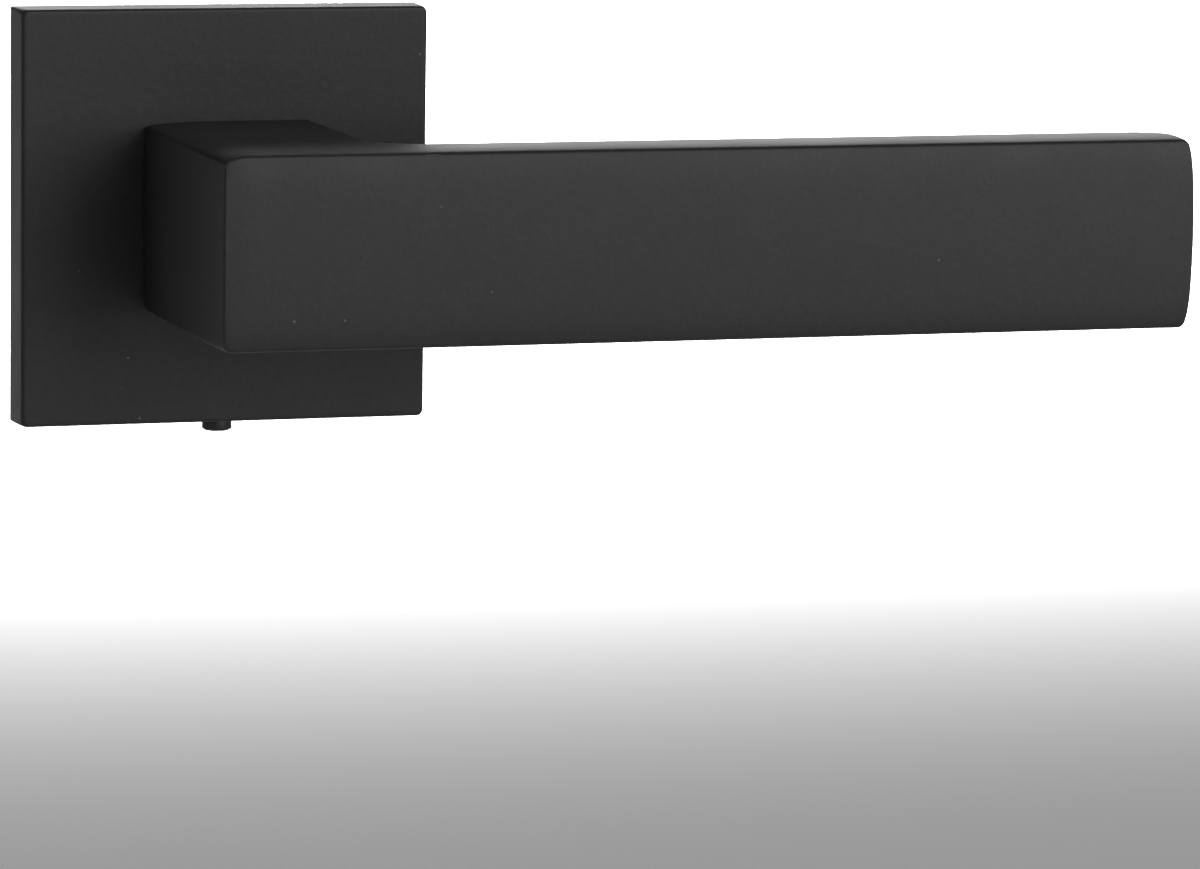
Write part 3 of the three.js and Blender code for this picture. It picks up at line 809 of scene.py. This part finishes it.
def cover_grid():
    """Rows of loops, each a mix of a square and a circle at one level; the last row meets the first."""
    angle = cover_bearings(COVER_COLUMNS)
    circle = np.stack([np.cos(angle), np.sin(angle)], axis=-1)
    rows = []

    def add(half_side, corner, level, radius=0.0, share=0.0):
        """share 0 is the square and 1 is the circle."""
        flat = (1 - share) * square_loop(half_side, max(corner, 0.05), angle) + share * radius * circle
        rows.append(np.stack([flat[:, 0], np.full(len(flat), level), flat[:, 1]], axis=-1))

    turn = np.linspace(0, np.pi / 2, 7)
    inside = HALF_SIDE - COVER_WALL
    front_inside = COVER_FRONT + FRONT_WALL
    add(HALF_SIDE, SIDE_CORNER, 0)
    for level in np.linspace(-0.3, COVER_FRONT + COVER_EDGE + 0.2, 8):
        add(HALF_SIDE, SIDE_CORNER + (FRONT_CORNER - SIDE_CORNER) * (level / COVER_FRONT) ** 2, level)
    for bend in turn:
        inset = COVER_EDGE * (1 - np.cos(bend))
        add(HALF_SIDE - inset, FRONT_CORNER - 0.5 * inset, COVER_FRONT + COVER_EDGE * (1 - np.sin(bend)))
    for share in np.linspace(0.02, 0.97, 14):
        add(HALF_SIDE - COVER_EDGE, FRONT_CORNER - 0.5 * COVER_EDGE, COVER_FRONT, COVER_HOLE + 0.2, share)
    for bend in turn[::-1]:
        add(HALF_SIDE, 1, COVER_FRONT + 0.2 * (1 - np.sin(bend)), COVER_HOLE + 0.2 * (1 - np.cos(bend)), 1)
    add(HALF_SIDE, 1, front_inside, COVER_HOLE, 1)
    for share in np.linspace(0.97, 0.03, 8):
        add(inside, 0.6, front_inside, COVER_HOLE + 0.2, share)
    add(inside, 0.6, front_inside)
    for level in np.linspace(front_inside + 0.2, -0.2, 4):
        add(inside, 0.6, level)
    add(inside, 0.6, 0)
    add(HALF_SIDE, SIDE_CORNER, 0)
    return np.stack(rows)


rose_cover = build("square_cover", [(cover_grid(), True)])

# %% [markdown]
# Inside its bottom wall the cover has a thick spot, tapped for the small screw that holds it on
# the plate. It is a block with broken edges, joined to the wall and then drilled through.

# %% The thick spot and its hole
BOSS_HALF, BOSS_TOP, BOSS_BACK = 3.6, 1.4 + 2.4, -0.4
screw_low, screw_high = span("cover_set_screw")
screw_y = (screw_low[1] + screw_high[1]) / 2
boss_front = COVER_FRONT + 0.6
boss_bar = square_bar(1.0, 0, 1, 0.12)
boss_size = np.array([BOSS_HALF, BOSS_BACK - boss_front, BOSS_TOP / 2 - 0.3])
boss = boss_bar * boss_size + np.array([0, boss_front, BOSS_TOP / 2 + 0.3 - HALF_SIDE])
carve(rose_cover, build("boss", [(boss, True)]), "UNION")
tap = [(0, -2), (2.3, -2), (2.3, 0), (2.0, 0.3), (2.0, BOSS_TOP + 1), (0, BOSS_TOP + 1)]
tapped = shifted(upright(lathe(tap, radius=0.02)), y=screw_y, z=-HALF_SIDE)
carve(rose_cover, build("tap", [(tapped, True)]))
finish_piece(rose_cover, POWDER, "powder_coat", "rose", "rose_cover")

# %% [markdown]
# ## Threads
#
# A thread is a turned surface whose radius rises and falls along a helix. At each point the
# share of a turn is taken off the distance along the screw: where what is left is a whole
# number of pitches, there is a crest. The thread fades in and out at its ends.


# %% A threaded surface
def thread_radii(levels, core, crest, pitch, fade_in, fade_out, flat=0.2, columns=ROUND):
    """Radius at each level and column: core, plus a trapezoid wave that winds round like a helix."""
    levels = np.asarray(levels, float)
    turn = np.arange(columns) / columns
    phase = np.mod(levels[:, None] / pitch - turn[None, :], 1)
    wave = np.clip((1 - np.abs(2 * phase - 1) - flat) / (1 - 2 * flat), 0, 1)
    ends = np.clip((levels - levels[0]) / fade_in, 0, 1) * np.clip((levels[-1] - levels) / fade_out, 0, 1)
    return core + (crest - core) * wave * ends[:, None]


def hexagon(flats, columns=ROUND):
    """Radius of a hexagon at each column."""
    angle = 2 * np.pi * np.arange(columns) / columns
    return flats / 2 / np.cos(np.mod(angle, np.pi / 3) - np.pi / 6)


def grub_screw(radius, pitch, length, socket, socket_depth, tip, plain):
    """A screw with no head, along Y from its socket end at 0: hexagon, collar, thread, bevelled tip."""
    steps = int(length / pitch * 10)
    body = np.linspace(plain + 0.15, length - tip, steps)
    core = radius - 0.61 * pitch
    thread = thread_radii(body, core, radius, pitch, 0.3, 0.3)
    six = hexagon(socket)
    ring = np.ones(ROUND)
    rows = [
        (0 * ring, socket_depth + 0.5),
        (0.98 * six, socket_depth),
        (six, 0.12),
        (six * 1.05, 0.0),
        ((radius - 0.4) * ring, 0.0),
        ((radius - 0.1) * ring, 0.2),
        ((radius - 0.05) * ring, 0.3),
        ((radius - 0.1) * ring, plain),
    ]
    rows += list(zip(thread, body))
    rows += [((core - tip) * ring, length), (0 * ring, length)]
    return turned(np.stack([row[0] for row in rows]), [row[1] for row in rows])


# %% The two grub screws
GRUB_PITCH, SET_PITCH = 1.0, 0.7
grub = grub_screw(GRUB_HOLE - 0.05, GRUB_PITCH, 6, 3, 3, 0.8, plain=0.3)
piece = build("neck_grub_screw", [(shifted(upright(grub), y=grub_y, z=grub_low[2]), True)])
finish_piece(piece, BLACK_OXIDE, "black_screw", "lever", "spindle_grub_screw")
set_screw = grub_screw(1.95, SET_PITCH, 6, 2, 2.4, 0.8, plain=1.3)
piece = build("cover_screw", [(shifted(upright(set_screw), y=screw_y, z=screw_low[2]), True)])
finish_piece(piece, BLACK_OXIDE, "black_screw", "rose", "cover_set_screw")


# %% [markdown]
# ## Screws that hold the rose on the door
#
# Four countersunk wood screws go through the corners of the plate, and two tapped sleeves take
# the long screws that come from the other side of the door. Their heads have a cross recess,
# cut with two crossed, tapered bars.


# %% Wood screws
CROSS_DEPTH = 1.3


def cross_tool(width, front, depth):
    """Two bars that cross, narrowing with depth, as the tip of a screwdriver does."""
    arm = 0.2 * width
    bars = []
    for across, along in ((width, arm), (arm, width)):
        outline = np.array([(1, 1), (-1, 1), (-1, -1), (1, -1)], float) * (across / 2, along / 2)
        end = front + depth
        rings = [(0.0, front - 1), (1.0, front - 1), (1.0, front), (0.62, end), (0.0, end)]
        bars.append(scaled_rings(outline, rings))
    return bars


def recess(piece, width, depth, x, front, z):
    """Cuts a cross into a screw's head."""
    for bar in cross_tool(width, front, depth):
        carve(piece, build("driver", [(shifted(bar, x=x, z=z), True)]))


def wood_screw(name, node, head=3.3, shank=1.6, head_depth=1.9, point=4.0, pitch=1.7):
    """A countersunk screw: head, cone, smooth neck, thread with a thin core, and a tapered point."""
    low, high = span(node)
    x, z = (low[0] + high[0]) / 2, (low[2] + high[2]) / 2
    face, end = low[1], high[1]
    cone_end = (shank * 0.85, face + head_depth + 1)
    top = softened([(0, face), (head, face), (head, face + 0.25), cone_end], 0.15)
    levels = np.linspace(face + head_depth + 1.2, end - 0.05, 150)
    taper = np.clip((end - levels) / point, 0.03, 1) ** 0.8
    ridge = thread_radii(levels, 1.0, shank, pitch, 1.0, 0.2, flat=0.32, columns=48) * taper[:, None]
    rows = np.concatenate([np.repeat(top[:, :1], 48, axis=1), ridge, np.zeros((1, 48))])
    grid = turned(rows, np.concatenate([top[:, 1], levels, [end]]), 48)
    piece = build(name, [(shifted(grid, x=x, z=z), True)])
    recess(piece, 3.2, CROSS_DEPTH, x, face, z)
    return finish_piece(piece, ZINC_PLATE, "bright_zinc", "rose", node)


for number in range(1, 5):
    wood_screw(f"wood_screw_bright_{number}", f"wood_screw_{number}")


# %% Fixing sleeves
def fixing_sleeve(side):
    """A countersunk sleeve, tapped from its far end: the thread winds on the inside of the bore."""
    low, high = span(f"fixing_sleeve_{side}")
    x = (low[0] + high[0]) / 2
    face, end = low[1], high[1]
    bore_end = end - 17
    head, head_depth, barrel, mouth = 3.9, 1.3, 2.8, 2.1
    profile = [
        (0, face), (head, face), (head, face + 0.2), (barrel, face + head_depth),
        (barrel, end), (mouth, end), (1.75, end - 0.4),
    ]
    outside = softened(profile, 0.12)
    levels = np.linspace(end - 0.5, bore_end, 200)
    inside = thread_radii(levels, 1.65, 1.98, SET_PITCH, 1, 1)
    rows = np.concatenate([np.repeat(outside[:, :1], ROUND, axis=1), inside, np.zeros((1, ROUND))])
    grid = turned(rows, np.concatenate([outside[:, 1], levels, [bore_end - 0.8]]))
    piece = build(f"tapped_sleeve_{side}", [(shifted(grid, x=x), True)])
    recess(piece, 4.0, CROSS_DEPTH, x, face, 0)
    return finish_piece(piece, ZINC_PLATE, "bright_zinc", "rose", f"fixing_sleeve_{side}")


for side in ("left", "right"):
    fixing_sleeve(side)

# %% [markdown]
# ## Rings, bushes and collars
#
# These are plain turned pieces. Their profiles are read off the frame: the outer radius and the
# two ends come from each node's box, and the bores are named.


# %% Turned rings
def turned_piece(name, profile, x, material, slot, node, radius=0.12):
    """A turned piece on the fixed body, finished: the profile is turned about Y and moved to x."""
    piece = build(name, [(shifted(lathe(profile, radius), x=x), True)])
    return finish_piece(piece, material, slot, "rose", node)


low, high = span("bearing_ring")
bore, rim, lip = SPIGOT_RADIUS + 0.1, high[0] - 1.4, high[0]
lip_front = high[1] - 0.5
ring_profile = [
    (bore, low[1]), (rim, low[1]), (rim, lip_front),
    (lip, lip_front), (lip, high[1]), (bore, high[1]),
]
turned_piece("nylon_ring", ring_profile, 0, NYLON, "nylon", "bearing_ring")

low, high = span("driver_bush")
bore, barrel, flange = high[0] - 0.9 - 0.8, high[0] - 0.9, high[0]
flange_back = low[1] + 0.8
bush_profile = [
    (bore, low[1]), (flange, low[1]), (flange, flange_back),
    (barrel, flange_back), (barrel, high[1]), (bore, high[1]),
]
turned_piece("follower_bush", bush_profile, 0, BRONZE, "bronze", "driver_bush", radius=0.1)

for side in ("left", "right"):
    low, high = span(f"lug_{side}")
    bore, neck, collar = 2.9, 3.45, high[2]
    shoulder = 0.05  # just behind the door's face
    collar_profile = [
        (bore, low[1]), (neck, low[1]), (neck, shoulder),
        (collar, shoulder), (collar, high[1]), (bore, high[1]),
    ]
    x = (low[0] + high[0]) / 2
    turned_piece(f"lug_collar_{side}", collar_profile, x, STEEL, "plain_steel", f"lug_{side}", radius=0.25)

# %% [markdown]
# The washer behind the plate is a thin ring of spring steel bent into three waves, which takes
# up the play. Its height is a cosine of the angle, three times round.

# %% The wave washer
low, high = span("wave_washer")
WASHER_THICK = 0.22
WAVES = 3
WASHER_WALL = 1.7
washer_rim = high[0]
washer_bore = washer_rim - WASHER_WALL
washer_profile = [
    (washer_bore, 0), (washer_rim, 0), (washer_rim, WASHER_THICK), (washer_bore, WASHER_THICK),
]
washer = lathe(washer_profile, 0.06, 144)
bearing = np.arctan2(washer[..., 2], washer[..., 0])
swing = (high[1] - low[1] - WASHER_THICK) / 2
washer[..., 1] += low[1] + swing * (1 + np.cos(WAVES * bearing))
piece = build("waved_washer", [(washer, True)])
finish_piece(piece, SPRING_STEEL, "spring_steel", "rose", "wave_washer")

# %% [markdown]
# ## The spindle
#
# A square bar of plated steel, drawn through a die: straight sides with slightly round corners,
# and a chamfer at each end so that it finds its way through the lock. Each row of the grid is a
# rounded square, and the last ones shrink.


# %% The spindle bar
def spindle_bar():
    """The bar as rows of one rounded square along Y, smaller at both ends for the chamfers."""
    low, high = span("spindle")
    half, corner, chamfer = high[0], 0.5, 0.7
    columns = square_bar(half, 0, 1, corner)[1][:, [0, 2]]
    face = 1 - chamfer / half
    ends = np.array(
        [(0, 0), (face - 0.08, 0), (face - 0.05, 0), (face, 0.06), (1, chamfer), (1, chamfer + 0.3)]
    )
    middle = np.linspace(low[1] + 2, high[1] - 2, 12)
    scale = np.concatenate([ends[:, 0], np.ones(12), ends[::-1, 0]])
    level = np.concatenate([low[1] + ends[:, 1], middle, high[1] - ends[::-1, 1]])
    flat = scale[:, None, None] * columns
    return np.stack([flat[..., 0], np.repeat(level[:, None], len(columns), 1), flat[..., 1]], axis=-1)


piece = build("square_spindle", [(spindle_bar(), True)])
finish_piece(piece, DRAWN_ZINC, "bright_zinc", "lever", "spindle")

# %% [markdown]
# ## The return spring
#
# A torsion spring lies round the follower. Its back end is held in the plate and its front end
# hooks into the follower, so pressing the lever winds it up. The wire is a small circle carried
# along the coil's centre line. The line is a helix whose radius grows at the back end and which
# steps forward at the hook.

# %% The centre line and the wire
low, high = span("return_spring")
WIRE = 1.1
COIL_RADIUS = 10.778
HOOK_STEP = 1.0
FIXED_ANGLE = 225  # where the back end lies in the plate
LEG_REACH, LEG_ANGLE = 3.4, 16  # how far out the back end goes, and over which angle
HOOK_ANGLE = 10
PITCH = WIRE + 0.05
coil_back = high[1] - WIRE / 2
coil_front = low[1] + WIRE / 2 + HOOK_STEP
coil_angle = 360 * (coil_back - coil_front) / PITCH


def spring_line(count=260):
    """The coil's centre line: a helix, further out at the back end and a step forward at the hook."""
    wound = np.linspace(0, coil_angle, count)
    angle = np.radians(FIXED_ANGLE - wound)
    radius = COIL_RADIUS + LEG_REACH * (1 - smooth_step(wound, 0, LEG_ANGLE))
    level = coil_back + (coil_front - coil_back) * wound / coil_angle
    level = level - HOOK_STEP * smooth_step(wound, coil_angle - HOOK_ANGLE, coil_angle)
    return np.stack([radius * np.cos(angle), level, radius * np.sin(angle)], axis=-1)


def wire_grid(path, radius, columns=20):
    """Circles round each point of a path, square to it; both ends close with a small round."""
    along = np.gradient(path, axis=0)
    along /= np.linalg.norm(along, axis=1)[:, None]
    side = np.cross(along, (0, 1, 0))
    side /= np.linalg.norm(side, axis=1)[:, None]
    up = np.cross(side, along)
    angle = 2 * np.pi * np.arange(columns) / columns
    scale = np.concatenate([[0, 0.8, 0.95], np.ones(len(path) - 6), [0.95, 0.8, 0]]) * radius
    ring = np.cos(angle)[None, :, None] * side[:, None] + np.sin(angle)[None, :, None] * up[:, None]
    return path[:, None] + scale[:, None, None] * ring


piece = build("torsion_spring", [(wire_grid(spring_line(), WIRE / 2), True)])
finish_piece(piece, SPRING_STEEL, "spring_steel", None, "return_spring")
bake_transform(piece)

# %% [markdown]
# ## Plate, follower and circlip
#
# The plate is a zinc casting, so its edges are rounder than those of the stamped follower and
# circlip.

# %% The pieces that keep their CAD shape
piece = broken_edges("mounting_plate", "cast_plate", 0.22)
finish_piece(piece, ZINC_CAST, "zinc_casting", "rose", "mounting_plate")
piece = broken_edges("spring_driver", "sprung_follower", 0.1)
finish_piece(piece, STEEL, "plain_steel", "lever", "spring_driver")
piece = broken_edges("driver_circlip", "circlip", 0.07)
finish_piece(piece, SPRING_STEEL, "spring_steel", "lever", "driver_circlip")

# %% [markdown]
# ## Floor, light and camera
#
# A black object needs something bright to reflect. The world is a soft studio that is nearly
# dark on the camera's side. A low bright patch behind, a little to the right, is mirrored by
# whatever is seen at a flat angle, and draws its edges. A weaker one at the left lights the
# neck's side, and a faint one overhead the top. A large soft lamp at the right front gives the
# front its gradient, and a second one lights the paper behind. The floor is plain and pale and
# far enough below to take no shadow in the main view.


# %% A pale floor
def floor_sheet(half_side, level, count=24):
    """A square sheet whose rim rises gently, as studio paper does: a cubic of the distance."""
    across = np.linspace(-half_side, half_side, count)
    x, y = np.meshgrid(across, across, indexing="ij")
    rim = np.clip(np.hypot(x, y) / half_side - 0.6, 0, None)
    return np.stack([x, y, level + half_side * 0.6 * rim**3], axis=-1)


FLOOR_HALF, FLOOR_LEVEL = 6000, -260
floor = build("floor", [(floor_sheet(FLOOR_HALF, FLOOR_LEVEL), False)])
floor.data.polygons.foreach_set("use_smooth", np.ones(len(floor.data.polygons), bool))
paper, paper_shader, paper_place, paper_edge = new_finish("pale_paper", Specular_IOR_Level=0.1)
fibre = grain(paper_place, 40 * MM, 3.0)
plug(paper_shader, dye(fibre, grey(0.93), grey(0.95)), 0.8 + 0.1 * fibre, fibre, 0.1 * MM, 0.1)
floor.data.materials.append(paper)

# %% The soft studio round the handle
world = bpy.data.worlds.new("studio")
bpy.context.scene.world = world
world.use_nodes = True
sky = Flow(world.node_tree)
way = sky.node("ShaderNodeTexCoord", output="Generated")


def glow_towards(direction, start, full):
    """Light that comes from one side of the world: by the cosine between the ray and a direction."""
    toward = Vector(direction).normalized()
    cosine = way.node("ShaderNodeVectorMath", {"operation": "DOT_PRODUCT"}, {0: way, 1: toward}, "Value")
    return fade(cosine, start, full)


height = way.node("ShaderNodeSeparateXYZ", {}, {0: way}, "Z")
behind = glow_towards((0.36, 0.93, 0.10), 0.86, 0.985) * fade(height, 0.52, 0.16)
left_side = glow_towards((-0.93, 0.36, 0.05), 0.88, 0.99)
above = glow_towards((0, -0.2, 1), 0.3, 0.95)
glow = 0.04 + 4.2 * behind + 1.1 * left_side + 0.2 * above
background = world.node_tree.nodes["Background"]
background.inputs["Color"].default_value = (1, 1, 1, 1)
world.node_tree.links.new(glow.socket, background.inputs["Strength"])


# %% Soft lamps
def soft_lamp(name, place, target, width, power, spread=180):
    """A square area lamp that looks at a target: millimetres, watts, and its beam in degrees."""
    light = bpy.data.lights.new(name, "AREA")
    light.size = width * MM
    light.energy = power
    light.spread = math.radians(spread)
    lamp = bpy.data.objects.new(name, light)
    bpy.context.scene.collection.objects.link(lamp)
    lamp.location = Vector(place) * MM
    lamp.rotation_euler = (Vector(target) - Vector(place)).to_track_quat("-Z", "Y").to_euler()


soft_lamp("key_lamp", (950, -1650, 620), (30, -30, 0), 1500, 21.0)
soft_lamp("paper_lamp", (1000, 2600, 1200), (1000, 2600, FLOOR_LEVEL), 2200, 90.0, spread=60)

# %% [markdown]
# The camera looks slightly down and from the left, from almost 0.8 m with a long lens, as for a
# catalogue picture. It is built from two angles, a small tilt of the horizon, the point it looks
# at and its distance.

# %% The camera
YAW, PITCH_DOWN, ROLL = math.radians(17.80), math.radians(8.27), math.radians(-0.831)
AIM = Vector((38.8, -40.0, -24.0)) * MM
DISTANCE = 777.9 * MM
LENS = 190.67
level_part = math.cos(PITCH_DOWN)
forward = Vector((math.sin(YAW) * level_part, math.cos(YAW) * level_part, -math.sin(PITCH_DOWN)))
right = Vector((math.cos(YAW), -math.sin(YAW), 0))
down = forward.cross(right)
tilted_right = math.cos(ROLL) * right + math.sin(ROLL) * down
tilted_down = math.cos(ROLL) * down - math.sin(ROLL) * right
lens = bpy.data.cameras.new("camera")
lens.lens = LENS
lens.sensor_width = 36
lens.clip_start = 0.01
lens.clip_end = 50
camera = bpy.data.objects.new("camera", lens)
bpy.context.scene.collection.objects.link(camera)
axes = Matrix((tilted_right, -tilted_down, -forward)).transposed().to_4x4()
camera.matrix_world = Matrix.Translation(AIM - DISTANCE * forward) @ axes
bpy.context.scene.camera = camera
bpy.context.scene.view_settings.view_transform = "Standard"
print("camera at", [round(value, 3) for value in camera.location])
